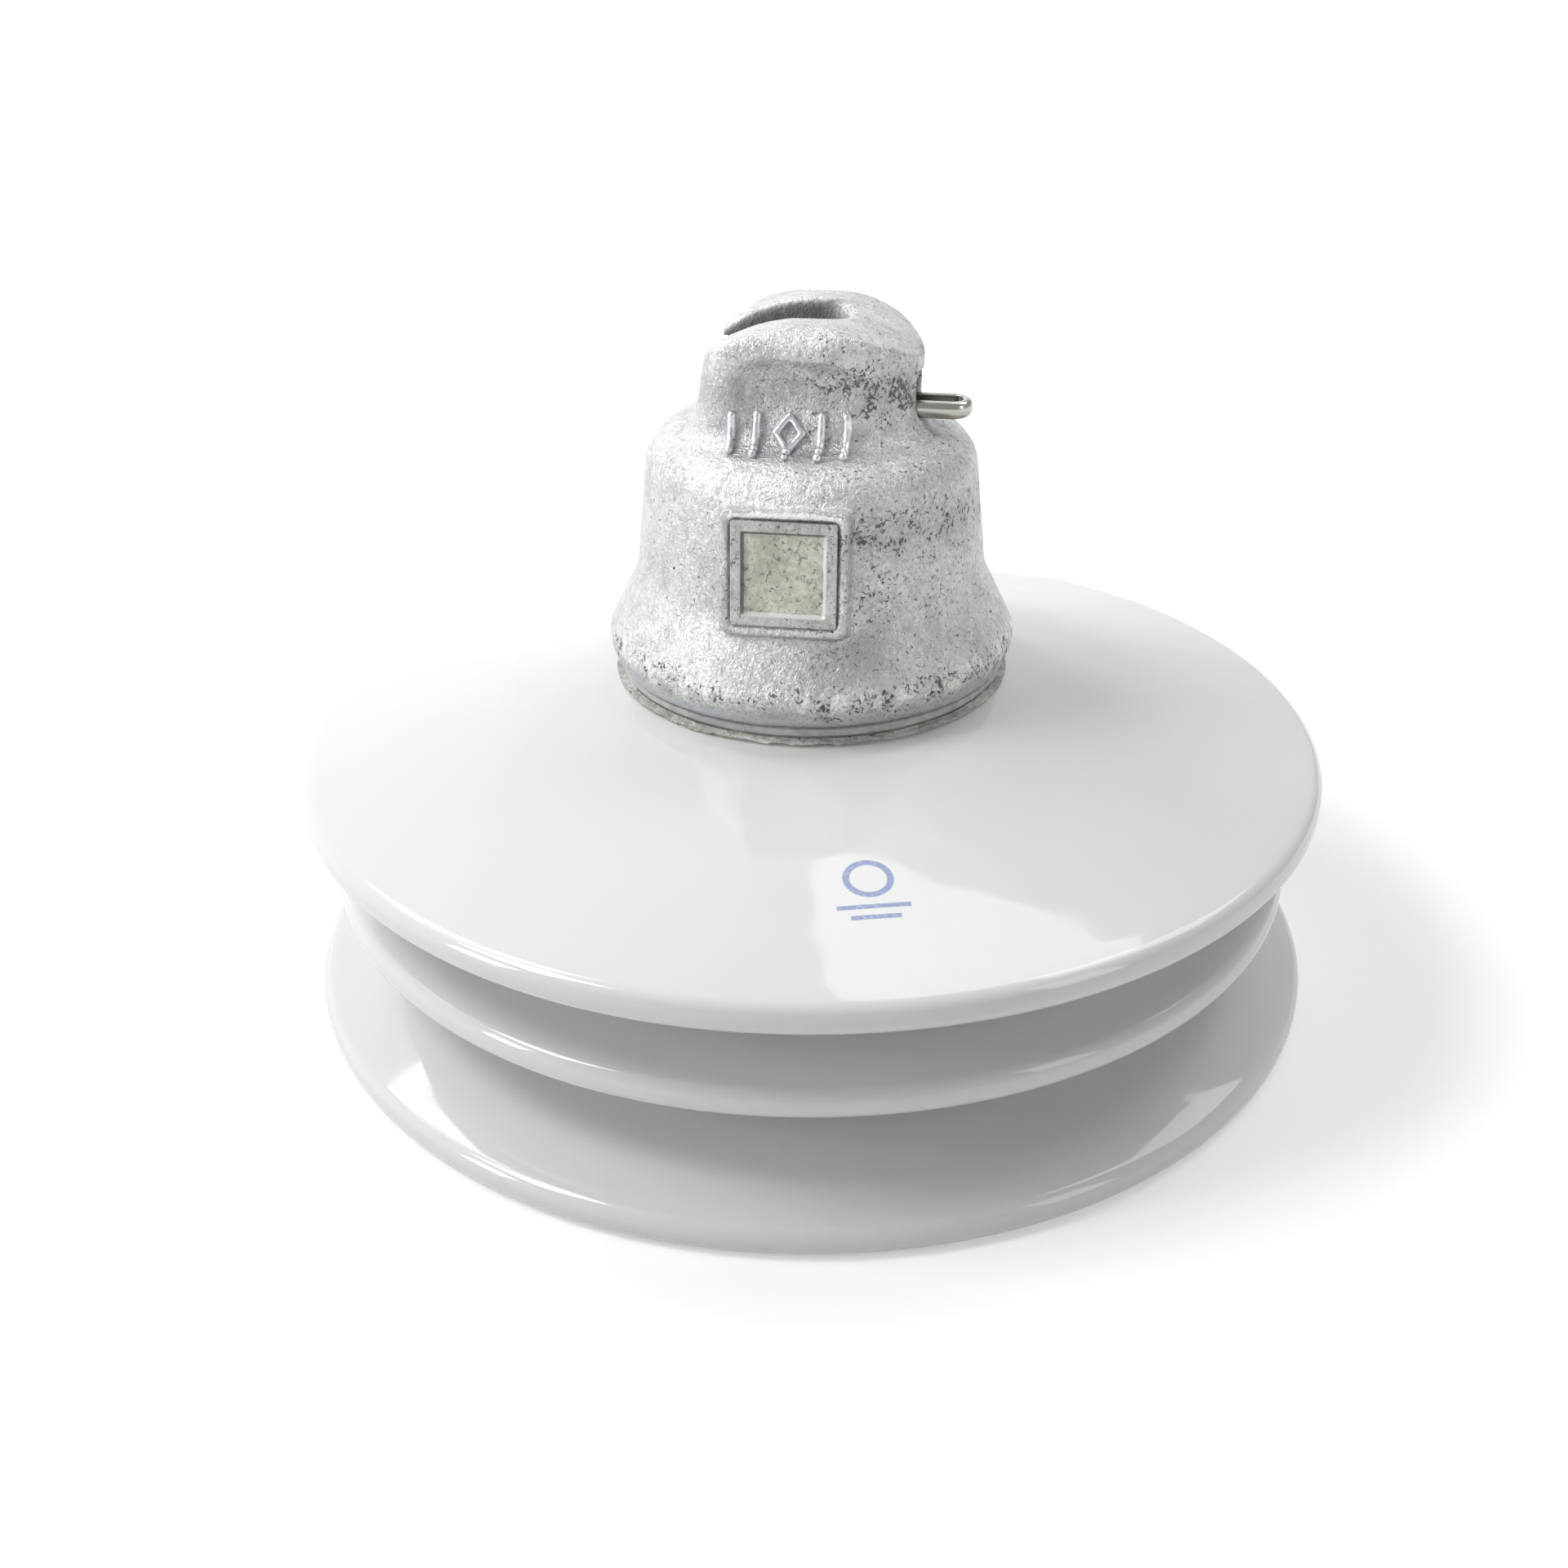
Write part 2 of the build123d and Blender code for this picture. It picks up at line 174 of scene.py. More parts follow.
# %% Rounded outline
def rounded_outline(corners, radii, run_step=5.0, arc_steps=9):
    """Points along a chain of (across, up) corners in millimetres, with fillets laid in."""
    knots = [Vector(c) for c in corners]
    chain = [knots[0]]
    for i in range(1, len(knots) - 1):
        into, away = knots[i] - knots[i - 1], knots[i + 1] - knots[i]
        turn = into.angle_signed(away)
        if radii[i] == 0 or abs(turn) < 0.01:
            chain.append(knots[i])
            continue
        reach = radii[i] * math.tan(abs(turn) / 2)
        start = knots[i] - into.normalized() * reach
        side = Vector((-into.y, into.x)).normalized() * (radii[i] if turn < 0 else -radii[i])
        centre = start + side
        steps = max(3, math.ceil(arc_steps * abs(turn) / (math.pi / 2)))
        for k in range(steps + 1):
            spoke = start - centre
            spoke.rotate(Matrix.Rotation(-turn * k / steps, 2))
            chain.append(centre + spoke)
    chain.append(knots[-1])
    points = [chain[0]]
    for a, b in zip(chain, chain[1:]):
        cuts = max(1, math.ceil((b - a).length / run_step))
        points += [a.lerp(b, k / cuts) for k in range(1, cuts + 1)]
    return points


def outline_mesh(name, points):
    """A bare chain of edges standing in the XZ plane, in metres."""
    mesh = bpy.data.meshes.new(name)
    chain = [(p.x * MM, 0, p.y * MM) for p in points]
    mesh.from_pydata(chain, [(i, i + 1) for i in range(len(chain) - 1)], [])
    return mesh


test = rounded_outline([(0, 0), (20, 0), (20, 20)], [0, 5, 0])
print("a 20 mm corner of radius 5 takes", len(test), "points")

# %% [markdown]
# ## The turning rule
# A porcelain shell is shaped on a wheel, so its whole form is one outline swept round an axis.
# It could be made with Spin, or with the Screw modifier. A small geometry tree is clearer: a grid
# whose rows stand round the circle and whose columns follow the outline, with every point told
# its radius and height. A slow noise lets the clay breathe inwards by a fraction of a millimetre.

# %% Geometry tree: turned body
turned, given, made = new_group("turned_body", "GeometryNodeTree", [
    ("Outline", GEOMETRY), ("Segments", INTEGER, 256), ("Unevenness", FLOAT, 0.0),
    ("Wave Size", FLOAT, 0.05), ("Raggedness", FLOAT, 0.0), ("Finish", MATERIAL)],
    [("Geometry", GEOMETRY)])
turned.is_modifier = True
rows = put(turned, "GeometryNodeAttributeDomainSize", {"component": "MESH"},
           {0: given["Outline"]})
around = sum_of(turned, "ADD", given["Segments"], 1)
lattice = put(turned, "GeometryNodeMeshGrid", None, {"Vertices X": around, "Vertices Y": rows})
index = put(turned, "GeometryNodeInputIndex")
middle_of_cell = sum_of(turned, "DIVIDE", sum_of(turned, "ADD", index, 0.5), rows)
column = sum_of(turned, "FLOOR", middle_of_cell)
row = sum_of(turned, "SUBTRACT", index, product(turned, column, rows))
angle = product(turned, sum_of(turned, "DIVIDE", column, given["Segments"]), math.tau)
spot = put(turned, "GeometryNodeSampleIndex", {"data_type": "FLOAT_VECTOR", "domain": "POINT"},
           {"Geometry": given["Outline"], "Value": put(turned, "GeometryNodeInputPosition"),
            "Index": row})
split = put(turned, "ShaderNodeSeparateXYZ", None, {0: spot}).node.outputs
ring = put(turned, "ShaderNodeCombineXYZ", None, {
    0: product(turned, split[0], sum_of(turned, "COSINE", angle)),
    1: product(turned, split[0], sum_of(turned, "SINE", angle)), 2: split[2]})
swept = put(turned, "GeometryNodeSetPosition", None, {"Geometry": lattice, "Position": ring})
closed = put(turned, "GeometryNodeMergeByDistance", None, {"Geometry": swept, "Distance": 1e-6})
slow = put(turned, "ShaderNodeTexNoise", None, {
    "Scale": sum_of(turned, "DIVIDE", 1.0, given["Wave Size"]), "Detail": 1.0, "Roughness": 0.4})
quick_noise = put(turned, "ShaderNodeTexNoise", None, {
    "Scale": sum_of(turned, "DIVIDE", 12.0, given["Wave Size"]), "Detail": 3.0})
depth = total(turned, product(turned, slow, given["Unevenness"]),
              product(turned, quick_noise, given["Raggedness"]))
inwards = put(turned, "ShaderNodeVectorMath", {"operation": "SCALE"}, {
    0: put(turned, "GeometryNodeInputNormal"), "Scale": product(turned, depth, -1.0)})
moved = put(turned, "GeometryNodeSetPosition", None, {"Geometry": closed, "Offset": inwards})
smooth = put(turned, "GeometryNodeSetShadeSmooth", None, {"Geometry": moved})
plain = put(turned, "GeometryNodeRealizeInstances", None, {"Geometry": smooth})
coated = put(turned, "GeometryNodeSetMaterial", None,
             {"Geometry": plain, "Material": given["Finish"]})
turned.links.new(coated, made["Geometry"])
print("turned_body has", len(turned.nodes), "nodes")

# %% [markdown]
# ## Shared finishes as shader groups
# Two effects turn up on more than one piece. Hot-dip zinc lies on the cap, the pin and the tag:
# it freezes in soft mottles with crisp little streaks, and keeps dark pits where ash stuck to it.
# Grit is what cement and dirt have in common. Each is one group with named inputs, so every
# material sets its own strength, and the Principled shader stays in the material itself.

# %% Shader group: hot-dip zinc
zinc, given, made = new_group("hot_dip_zinc", "ShaderNodeTree", [
    ("Vector", VECTOR), ("Bright", COLOUR, (0.7, 0.72, 0.74, 1)),
    ("Dull", COLOUR, (0.5, 0.52, 0.54, 1)), ("Pit Colour", COLOUR, (0.12, 0.13, 0.12, 1)),
    ("Mottle Size", FLOAT, 0.006), ("Pitting", FLOAT, 0.2), ("Base Roughness", FLOAT, 0.42)],
    [("Colour", COLOUR), ("Roughness", FLOAT), ("Height", FLOAT)])
per_mottle = sum_of(zinc, "DIVIDE", 1.0, given["Mottle Size"])


def zinc_noise(stretch, scale, detail, roughness=0.55, warp=0.0):
    """Noise on stretched object coordinates, scaled by the mottle size."""
    where = put(zinc, "ShaderNodeMapping", None, {"Vector": given["Vector"], "Scale": stretch,
                                                  "Rotation": (0.3, 0.5, 0.2)})
    return put(zinc, "ShaderNodeTexNoise", None, {
        "Vector": where, "Scale": sum_of(zinc, "MULTIPLY", per_mottle, scale),
        "Detail": detail, "Roughness": roughness, "Distortion": warp})


broad = zinc_noise((1, 1, 1), 0.35, 3.0, 0.5, 0.4)
mottle = zinc_noise((1, 1, 0.75), 0.9, 5.0, 0.65, 0.8)
streak = zinc_noise((1.5, 1.5, 1), 2.0, 3.0, 0.6, 1.2)
grain = zinc_noise((1, 1, 1), 5.0, 2.0, 0.6, 0.8)
cloud = total(zinc, product(zinc, broad, 0.45), product(zinc, mottle, 0.55))
tone = ramp(zinc, cloud, 0.36, 0.60)
fleck = ramp(zinc, streak, 0.38, 0.62, 0.90, 1.06)
dust = ramp(zinc, grain, 0.38, 0.60, 0.92, 1.05)
body = blend_colours(zinc, tone, given["Dull"], given["Bright"])
speckle = product(zinc, fleck, dust)
lively = blend_colours(zinc, 1.0, body, put(zinc, "ShaderNodeCombineColor", None, {
    0: speckle, 1: speckle, 2: speckle}), "MULTIPLY")
pit_field = zinc_noise((1, 1, 1), 3.2, 4.0, 0.7, 0.6)
cluster = ramp(zinc, zinc_noise((1, 1, 1), 0.7, 3.0), 0.30, 0.60)
FEWEST_PITS, MORE_PITS = 0.66, 0.15
edge_of_pits = sum_of(zinc, "SUBTRACT", FEWEST_PITS,
                      product(zinc, cluster, given["Pitting"], MORE_PITS))
pits = ramp(zinc, sum_of(zinc, "SUBTRACT", pit_field, edge_of_pits), 0.0, 0.04)
zinc.links.new(blend_colours(zinc, pits, lively, given["Pit Colour"]), made["Colour"])
zinc.links.new(total(zinc, given["Base Roughness"], product(zinc, pits, 0.35),
                     ramp(zinc, mottle, 0.3, 0.7, 0.08, -0.06)), made["Roughness"])
zinc.links.new(total(zinc, product(zinc, streak, 0.55), sum_of(
    zinc, "SUBTRACT", product(zinc, mottle, 0.6), pits)), made["Height"])
print("hot_dip_zinc has", len(zinc.nodes), "nodes")

# %% Shader group: grit
grit, given, made = new_group("grit", "ShaderNodeTree", [
    ("Vector", VECTOR), ("Light", COLOUR, (0.6, 0.6, 0.58, 1)),
    ("Dark", COLOUR, (0.3, 0.3, 0.29, 1)), ("Grain Size", FLOAT, 0.001)],
    [("Colour", COLOUR), ("Height", FLOAT)])
per_grain = sum_of(grit, "DIVIDE", 1.0, given["Grain Size"])
sand = put(grit, "ShaderNodeTexNoise", None, {
    "Vector": given["Vector"], "Scale": per_grain, "Detail": 5.0, "Roughness": 0.7})
patch = put(grit, "ShaderNodeTexNoise", None, {
    "Vector": given["Vector"], "Scale": product(grit, per_grain, 0.12), "Detail": 3.0})
mixed = total(grit, product(grit, sand, 0.6), product(grit, patch, 0.4))
grit.links.new(blend_colours(grit, ramp(grit, mixed, 0.38, 0.62), given["Dark"], given["Light"]),
               made["Colour"])
grit.links.new(sand, made["Height"])
print("grit has", len(grit.nodes), "nodes")


# %% Material helper
def new_material(name, **constants):
    """A material with its Principled shader and the object coordinates that patterns read."""
    material = bpy.data.materials.new(name)
    material.use_nodes = True
    tree = material.node_tree
    shader = tree.nodes["Principled BSDF"]
    for label, value in constants.items():
        shader.inputs[label.replace("_", " ")].default_value = value
    return material, tree, shader, put(tree, "ShaderNodeTexCoord", out="Object")


def place_group(tree, group, values):
    """A shader group inside a material, with this material's own values."""
    used = tree.nodes.new("ShaderNodeGroup")
    used.node_tree = group
    for label, value in values.items():
        if isinstance(value, bpy.types.NodeSocket):
            tree.links.new(value, used.inputs[label])
        else:
            used.inputs[label].default_value = value
    return used.outputs


def emboss(tree, shader, height, strength, distance):
    """Feeds a height into the shader's normal."""
    bump = put(tree, "ShaderNodeBump", None,
               {"Height": height, "Strength": strength, "Distance": distance})
    tree.links.new(bump, shader.inputs["Normal"])


def dress(piece, material):
    """Gives a piece, or a CAD node, one material."""
    piece.data.materials.clear()
    piece.data.materials.append(material)


print("helpers ready: new_material, place_group, emboss, dress")

# %% [markdown]
# ## Glaze, and the printed mark
# The glaze is a thin glass over white clay: smooth, pale and faintly cool, never quite even.
# A small blue print is fired under it in front. Real units carry a maker's words there, so this
# one gets a plain ring over two bars. The print is worked out from distances in the plane of the
# shed, turned and centred by a Mapping node, which keeps it fixed to the porcelain.

# %% Glaze
glaze, tree, shader, where = new_material("glaze_white", Roughness=0.07, IOR=1.5)
shade = put(tree, "ShaderNodeTexNoise", None,
            {"Vector": where, "Scale": 9.0, "Detail": 3.0, "Roughness": 0.5})
clay = blend_colours(tree, shade, (0.738, 0.742, 0.736, 1), (0.762, 0.765, 0.759, 1))
print_at = put(tree, "ShaderNodeMapping", {"vector_type": "TEXTURE"}, {
    "Vector": where, "Location": (0.0306, -0.1067, 0.0), "Rotation": (0, 0, math.radians(16)),
    "Scale": (MM, MM, MM)})
across = put(tree, "ShaderNodeSeparateXYZ", None, {0: print_at}).node.outputs


def slab(tree, x, y, half_x, half_y):
    """A soft-edged bar: 1 inside, 0 outside, in millimetres round (x, y)."""
    off_x = sum_of(tree, "ABSOLUTE", sum_of(tree, "SUBTRACT", across[0], x))
    off_y = sum_of(tree, "ABSOLUTE", sum_of(tree, "SUBTRACT", across[1], y))
    return product(tree, ramp(tree, off_x, half_x, half_x - 0.35),
                   ramp(tree, off_y, half_y, half_y - 0.35))


HOOP_Y, HOOP_R, HOOP_HALF = 4.0, 5.6, 1.05
off_y = sum_of(tree, "SUBTRACT", across[1], HOOP_Y)
radius = sum_of(tree, "SQRT", total(
    tree, product(tree, across[0], across[0]), product(tree, off_y, off_y)))
from_hoop = sum_of(tree, "ABSOLUTE", sum_of(tree, "SUBTRACT", radius, HOOP_R))
hoop = ramp(tree, from_hoop, HOOP_HALF, HOOP_HALF - 0.35)
ink = sum_of(tree, "MAXIMUM", hoop, sum_of(
    tree, "MAXIMUM", slab(tree, 0, -5.6, 9.5, 0.9), slab(tree, 0, -9.2, 6.5, 0.9)))
height_of = put(tree, "ShaderNodeSeparateXYZ", None, {0: where}).node.outputs[2]
upper = ramp(tree, height_of, 0.0745, 0.0755)
worn = put(tree, "ShaderNodeTexNoise", None, {"Vector": where, "Scale": 900.0, "Detail": 2.0})
ink = product(tree, ink, upper, ramp(tree, worn, 0.2, 0.6, 0.55, 0.8))
tree.links.new(blend_colours(tree, ink, clay, (0.07, 0.15, 0.44, 1)), shader.inputs["Base Color"])
tree.links.new(ramp(tree, put(tree, "ShaderNodeTexNoise", None, {
    "Vector": where, "Scale": 60.0, "Detail": 2.0}), 0.3, 0.7, 0.055, 0.085),
    shader.inputs["Roughness"])
emboss(tree, shader, put(tree, "ShaderNodeTexNoise", None, {
    "Vector": where, "Scale": 38.0, "Detail": 1.0}), 0.12, 0.004)
print("glaze_white ready")

# %% [markdown]
# ## Zinc on the cap
# The cap's coat has more pits towards its right, most under the lip and below the shoulder, and in
# a band above the rim, where pale dross crusts it too. The rim itself is wiped bare. Painted shade
# darkens the band under the lip, the flare below the tag, the right of the band below the shoulder,
# and the inside of the slot and the socket; a painted highlight lightens the top of the frame over
# the tag. Each of these places is a mask made from height and side, whose edges a slow noise
# breaks.

# %% Where the cap is pitted
cap_zinc, tree, shader, where = new_material("cap_zinc_coat", Metallic=0.75)
place = put(tree, "ShaderNodeSeparateXYZ", None, {0: where}).node.outputs
drift = put(tree, "ShaderNodeTexNoise", None, {"Vector": where, "Scale": 55.0, "Detail": 3.0})
sway = product(tree, sum_of(tree, "SUBTRACT", drift, 0.5), 0.03)
lifted_place = total(tree, place[2], product(tree, sway, 0.35))


def belt(low, high, soft):
    """1 between two heights in millimetres, with soft edges that the slow noise shifts."""
    return product(tree, ramp(tree, lifted_place, (low - soft) * MM, (low + soft) * MM),
                   ramp(tree, lifted_place, (high + soft) * MM, (high - soft) * MM))


# A ramp towards the right of the cap: more pits there, and painted shade below the shoulder.
towards_right = ramp(tree, total(tree, place[0], sway), -6 * MM, 14 * MM)
under_lip = belt(178, 190, 4)
below_shoulder = belt(145, 158, 5)
rim_band = belt(105.5, 112.5, 1.5)
pitting = total(tree, 0.25, product(tree, towards_right, total(
    tree, 0.25, product(tree, under_lip, 0.7), product(tree, below_shoulder, 0.4))),
    product(tree, rim_band, 0.6))
coat = place_group(tree, zinc, {
    "Vector": where, "Bright": (0.605, 0.617, 0.62, 1), "Dull": (0.49, 0.50, 0.505, 1),
    "Pit Colour": (0.14, 0.145, 0.13, 1), "Mottle Size": 0.0035, "Pitting": pitting,
    "Base Roughness": 0.36})
print("the pitting mask is mixed from 4 places")

# %% Dross, bare rim, painted shade and painted highlight
crusts = put(tree, "ShaderNodeTexNoise", None, {
    "Vector": where, "Scale": 150.0, "Detail": 5.0, "Roughness": 0.65, "Distortion": 0.5})
dross = product(tree, rim_band, ramp(tree, crusts, 0.50, 0.58))
bare_rim = belt(100, 104.5, 0.6)
# Painted shade: the inside of the slot, and of the bore at the top of the socket, is darkened where
# shade falls there, and made rougher.
in_slot = product(tree, ramp(tree, place[2], 181 * MM, 185 * MM),
                  ramp(tree, sum_of(tree, "ABSOLUTE", place[1]), 11.4 * MM, 9.8 * MM),
                  ramp(tree, place[0], 10 * MM, 3 * MM))
level_place = put(tree, "ShaderNodeVectorMath", {"operation": "MULTIPLY"}, {0: where, 1: (1, 1, 0)})
from_axis = put(tree, "ShaderNodeVectorMath", {"operation": "LENGTH"}, {0: level_place},
                out="Value")
in_bore = product(tree, ramp(tree, place[2], 196.5 * MM, 192.5 * MM),
                  ramp(tree, from_axis, 20.5 * MM, 19 * MM))
painted_socket_shade = sum_of(tree, "MAXIMUM", in_slot, in_bore)
# Painted shade on the concave flare below and to the right of the tag.
painted_flare_shade = product(tree, belt(114, 126, 4), ramp(tree, place[0], 2 * MM, 14 * MM),
                ramp(tree, place[0], 34 * MM, 18 * MM))
TAG_HALF, TAG_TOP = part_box("tag_plate")[1].x / MM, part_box("tag_plate")[1].z / MM
off_middle = sum_of(tree, "ABSOLUTE", place[0])
# Painted highlight: a light band along the top edge of the frame over the tag.
painted_frame_highlight = product(tree, belt(TAG_TOP + 0.6, TAG_TOP + 2.2, 0.3),
                ramp(tree, off_middle, (TAG_HALF + 1.5) * MM, TAG_HALF * MM),
                ramp(tree, place[1], -30 * MM, -35 * MM))
# Painted shade: darker under the lip, on the flare below the tag and on the right of the band below
# the shoulder.
painted_shade = total(tree, product(tree, belt(181, 188, 4), 0.40), product(tree, painted_flare_shade, 0.45),
             product(tree, below_shoulder, towards_right, 0.30))
coloured = coat["Colour"]
# Dross and the bare rim are the coat's own colours; the socket, shade and frame masks paint shade
# and a highlight.
for mask, strength, colour in (
        (dross, 0.75, (0.80, 0.80, 0.77, 1)), (bare_rim, 0.6, (0.56, 0.59, 0.62, 1)),
        (painted_socket_shade, 0.8, (0.10, 0.105, 0.10, 1)), (painted_frame_highlight, 0.85, (0.93, 0.93, 0.92, 1)),
        (painted_shade, 1.0, (0.24, 0.245, 0.24, 1))):
    coloured = blend_colours(tree, product(tree, mask, strength), coloured, colour)
tree.links.new(coloured, shader.inputs["Base Color"])
tree.links.new(total(tree, coat["Roughness"], product(tree, painted_socket_shade, 0.3)), shader.inputs["Roughness"])
emboss(tree, shader, coat["Height"], 0.9, 0.0011)
print("cap_zinc_coat ready")

# %% [markdown]
# ## The smaller finishes
# The pin is dipped like the cap but is smooth, because it is turned before it is coated. The tag is
# a stamped plate with a stained middle; the step round that middle is painted light on two sides,
# as a painted highlight, and dark on the other two, as painted shade. The clip is drawn, polished
# stainless wire. Cement is grey and sandy, and the two cushions are black, slightly chalky bitumen
# pads.

# %% Pin zinc
pin_zinc, tree, shader, where = new_material("pin_zinc_coat", Metallic=0.8)
coat = place_group(tree, zinc, {
    "Vector": where, "Bright": (0.74, 0.76, 0.78, 1), "Dull": (0.55, 0.57, 0.60, 1),
    "Mottle Size": 0.004, "Pitting": 0.3, "Base Roughness": 0.34})
tree.links.new(coat["Colour"], shader.inputs["Base Color"])
tree.links.new(coat["Roughness"], shader.inputs["Roughness"])
emboss(tree, shader, coat["Height"], 0.35, 0.0004)

# %% Tag
tag_finish, tree, shader, where = new_material("tag_plate_finish", Metallic=0.35)
tag_low, tag_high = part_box("tag_plate")
tag_middle = (tag_low + tag_high) / 2
from_middle = put(tree, "ShaderNodeVectorMath", {"operation": "SUBTRACT"},
                  {0: where, 1: tuple(tag_middle)})
place = put(tree, "ShaderNodeSeparateXYZ", None, {0: from_middle}).node.outputs
reach = sum_of(tree, "MAXIMUM", sum_of(tree, "ABSOLUTE", place[0]), sum_of(
    tree, "ABSOLUTE", place[2]))
centre = ramp(tree, reach, 11.4 * MM, 10.8 * MM)
coat = place_group(tree, zinc, {
    "Vector": where, "Bright": (0.60, 0.62, 0.60, 1), "Dull": (0.40, 0.42, 0.395, 1),
    "Pit Colour": (0.14, 0.15, 0.12, 1), "Mottle Size": 0.003, "Pitting": 0.7,
    "Base Roughness": 0.45})
stain = place_group(tree, grit, {
    "Vector": where, "Light": (0.70, 0.71, 0.62, 1), "Dark": (0.44, 0.455, 0.38, 1),
    "Grain Size": 0.0018})
fleck = put(tree, "ShaderNodeTexNoise", None,
            {"Vector": where, "Scale": 620.0, "Detail": 4.0, "Roughness": 0.7, "Distortion": 0.8})
speckled = blend_colours(tree, ramp(tree, fleck, 0.55, 0.63, 0.0, 0.8), stain["Colour"],
                         (0.17, 0.18, 0.14, 1))
plate = blend_colours(tree, centre, coat["Colour"], speckled)
# Painted highlight and painted shade on the step round the middle: light on the lower right, dark
# on the upper left.
step = product(tree, ramp(tree, reach, 10.4 * MM, 10.7 * MM),
               ramp(tree, reach, 11.6 * MM, 11.3 * MM))
lit_side = ramp(tree, sum_of(tree, "SUBTRACT", place[0], place[2]), -0.8 * MM, 0.8 * MM)
plate = blend_colours(tree, product(tree, step, 0.75), plate, blend_colours(
    tree, lit_side, (0.10, 0.105, 0.09, 1), (0.80, 0.81, 0.79, 1)))
tree.links.new(plate, shader.inputs["Base Color"])
tree.links.new(ramp(tree, centre, 0.0, 1.0, 0.42, 0.55), shader.inputs["Roughness"])
emboss(tree, shader, coat["Height"], 0.4, 0.0004)

# %% Clip, cement, cushions
clip_steel, tree, shader, where = new_material("clip_wire_polish", Metallic=1.0)
drawn = put(tree, "ShaderNodeTexNoise", None, {"Vector": put(
    tree, "ShaderNodeMapping", None, {"Vector": where, "Scale": (60, 900, 2400)}), "Scale": 1.0,
    "Detail": 3.0})
tree.links.new(blend_colours(tree, drawn, (0.36, 0.35, 0.325, 1), (0.50, 0.485, 0.445, 1)),
               shader.inputs["Base Color"])
tree.links.new(ramp(tree, drawn, 0.3, 0.7, 0.16, 0.28), shader.inputs["Roughness"])

cement, tree, shader, where = new_material("cement_grout", Roughness=0.85)
sandy = place_group(tree, grit, {"Vector": where, "Light": (0.84, 0.83, 0.79, 1),
                                 "Dark": (0.46, 0.455, 0.43, 1), "Grain Size": 0.0014})
tree.links.new(sandy["Colour"], shader.inputs["Base Color"])
emboss(tree, shader, sandy["Height"], 0.8, 0.0008)

collar_grout, tree, shader, where = new_material("pressed_collar", Roughness=0.45)
pressed = place_group(tree, grit, {"Vector": where, "Light": (0.60, 0.61, 0.60, 1),
                                   "Dark": (0.42, 0.43, 0.43, 1), "Grain Size": 0.0035})
tree.links.new(pressed["Colour"], shader.inputs["Base Color"])
emboss(tree, shader, pressed["Height"], 0.3, 0.0005)

cushion, tree, shader, where = new_material("bitumen_pad", Roughness=0.7)
chalk = place_group(tree, grit, {"Vector": where, "Light": (0.06, 0.06, 0.06, 1),
                                 "Dark": (0.02, 0.02, 0.02, 1), "Grain Size": 0.002})
tree.links.new(chalk["Colour"], shader.inputs["Base Color"])
emboss(tree, shader, chalk["Height"], 0.3, 0.0005)
print("materials:", [m.name for m in bpy.data.materials])

# %% [markdown]
# ## The porcelain body
# Three sheds, the trunk behind them, the head inside the cap and the bell underneath are one
# turned and fired piece. Its corners repeat the sizes of the solid: rim radii of 150, 142 and
# 150.5 mm, edges 10 mm thick, and a top face that falls 23 mm in a hundred. The outline runs up
# the outside, so that the faces of the swept surface point outwards.

# %% Porcelain sizes
HEAD_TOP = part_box("porcelain_shell")[1].z / MM
CEMENT_LINE_R, CEMENT_LINE_Z = 55.6, 96.5
TOP_SLOPE = (CEMENT_LINE_Z - 75.9) / (145.0 - CEMENT_LINE_R)


def shed_edge(rim_r, rim_z, slope, top_r, under_r):
    """Four corners of a shed: under the root, under the rim, over the rim, over the root."""
    over, under = rim_z + 5.0, rim_z - 5.0
    return [(under_r, under + 0.14 * (rim_r - 5.0 - under_r)), (rim_r, under - 0.7),
            (rim_r, over - slope * 5.0), (top_r, over + slope * (rim_r - 5.0 - top_r))]


# %% Turn the porcelain
corners = [(0, 140.3), (19.5, 140.3), (19.5, 66.0), (27.0, 66.0), (74.0, 62.0), (80.0, 9.5),
           (144.0, 0), (150.5, 0), (150.5, 8.5), (97.0, 24.55)]
radii = [0, 6, 2, 3, 12, 6, 4, 4.4, 4.4, 6]
corners += shed_edge(142.0, 40.7, 0.30, 97.0, 97.0)
corners += shed_edge(150.0, 70.9, TOP_SLOPE, 36.5, 97.0)
radii += [6, 4.4, 4.4, 6, 6, 4.4, 4.4, 10]
corners += [(36.5, HEAD_TOP), (0, HEAD_TOP)]
radii += [10, 0]
outline = rounded_outline(corners, radii)
sheds = grow("porcelain_sheds", outline_mesh("porcelain_outline", outline), turned,
             Segments=300, Unevenness=0.25 * MM, Wave_Size=0.09, Finish=glaze)
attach(sheds, "insulator")
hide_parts("porcelain_shell")
report(sheds)

# %% [markdown]
# ## The iron cap
# A cap is cast in sand and dipped in molten zinc, so no edge on it is sharp and no face is quite
# flat. The solid has the right form but the smoothness of a drawing. Its mesh is copied, merged
# and remeshed into even little squares, which melts the creases together. A geometry tree then
# gives it the skin: two sizes of noise push the surface inwards, never outwards.

